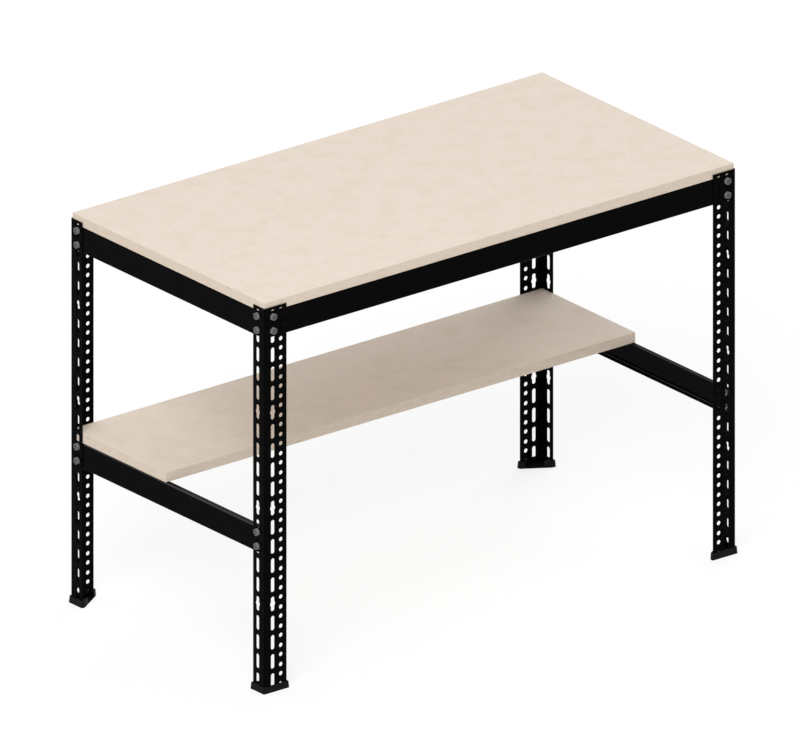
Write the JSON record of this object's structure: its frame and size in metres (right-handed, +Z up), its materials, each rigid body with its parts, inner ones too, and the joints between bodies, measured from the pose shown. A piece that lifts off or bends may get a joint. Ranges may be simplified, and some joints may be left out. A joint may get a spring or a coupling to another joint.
{
  "type": "assembly table",
  "caption": "Slotted-angle assembly table: punched black angle uprights on plastic feet, bolted channel beams, a pale board top and a half-depth shelf at the back.",
  "frame": {"origin": "on the floor under the middle of the frame", "axes": "+X along the length, +Y from the front to the shelf side at the back, +Z up"},
  "size_m": [1.1742, 0.6126, 0.8136],
  "materials": {
    "black_steel": "black powder coat, satin",
    "pale_board": "raw pale fibreboard, sanded faces and sawn edges",
    "zinc_steel": "zinc plated",
    "black_plastic": "moulded, stippled"
  },
  "bodies": {
    "root": {"upright_front_left": "black_steel", "upright_front_right": "black_steel", "upright_back_left": "black_steel", "upright_back_right": "black_steel", "foot_front_left": "black_plastic", "foot_front_right": "black_plastic", "foot_back_left": "black_plastic", "foot_back_right": "black_plastic", "top_beam_front": "black_steel", "top_beam_back": "black_steel", "top_beam_left": "black_steel", "top_beam_right": "black_steel", "shelf_beam_left": "black_steel", "shelf_beam_right": "black_steel", "table_top": "pale_board", "shelf_board": "pale_board", "bolt_top_front_left_upper": "zinc_steel", "bolt_top_front_left_lower": "zinc_steel", "bolt_top_front_right_upper": "zinc_steel", "bolt_top_front_right_lower": "zinc_steel", "bolt_top_back_left_upper": "zinc_steel", "bolt_top_back_left_lower": "zinc_steel", "bolt_top_back_right_upper": "zinc_steel", "bolt_top_back_right_lower": "zinc_steel", "bolt_top_left_front_upper": "zinc_steel", "bolt_top_left_front_lower": "zinc_steel", "bolt_top_left_back_upper": "zinc_steel", "bolt_top_left_back_lower": "zinc_steel", "bolt_top_right_front_upper": "zinc_steel", "bolt_top_right_front_lower": "zinc_steel", "bolt_top_right_back_upper": "zinc_steel", "bolt_top_right_back_lower": "zinc_steel", "bolt_shelf_left_front_upper": "zinc_steel", "bolt_shelf_left_front_lower": "zinc_steel", "bolt_shelf_left_back_upper": "zinc_steel", "bolt_shelf_left_back_lower": "zinc_steel", "bolt_shelf_right_front_upper": "zinc_steel", "bolt_shelf_right_front_lower": "zinc_steel", "bolt_shelf_right_back_upper": "zinc_steel", "bolt_shelf_right_back_lower": "zinc_steel"}
  },
  "joints": []
}
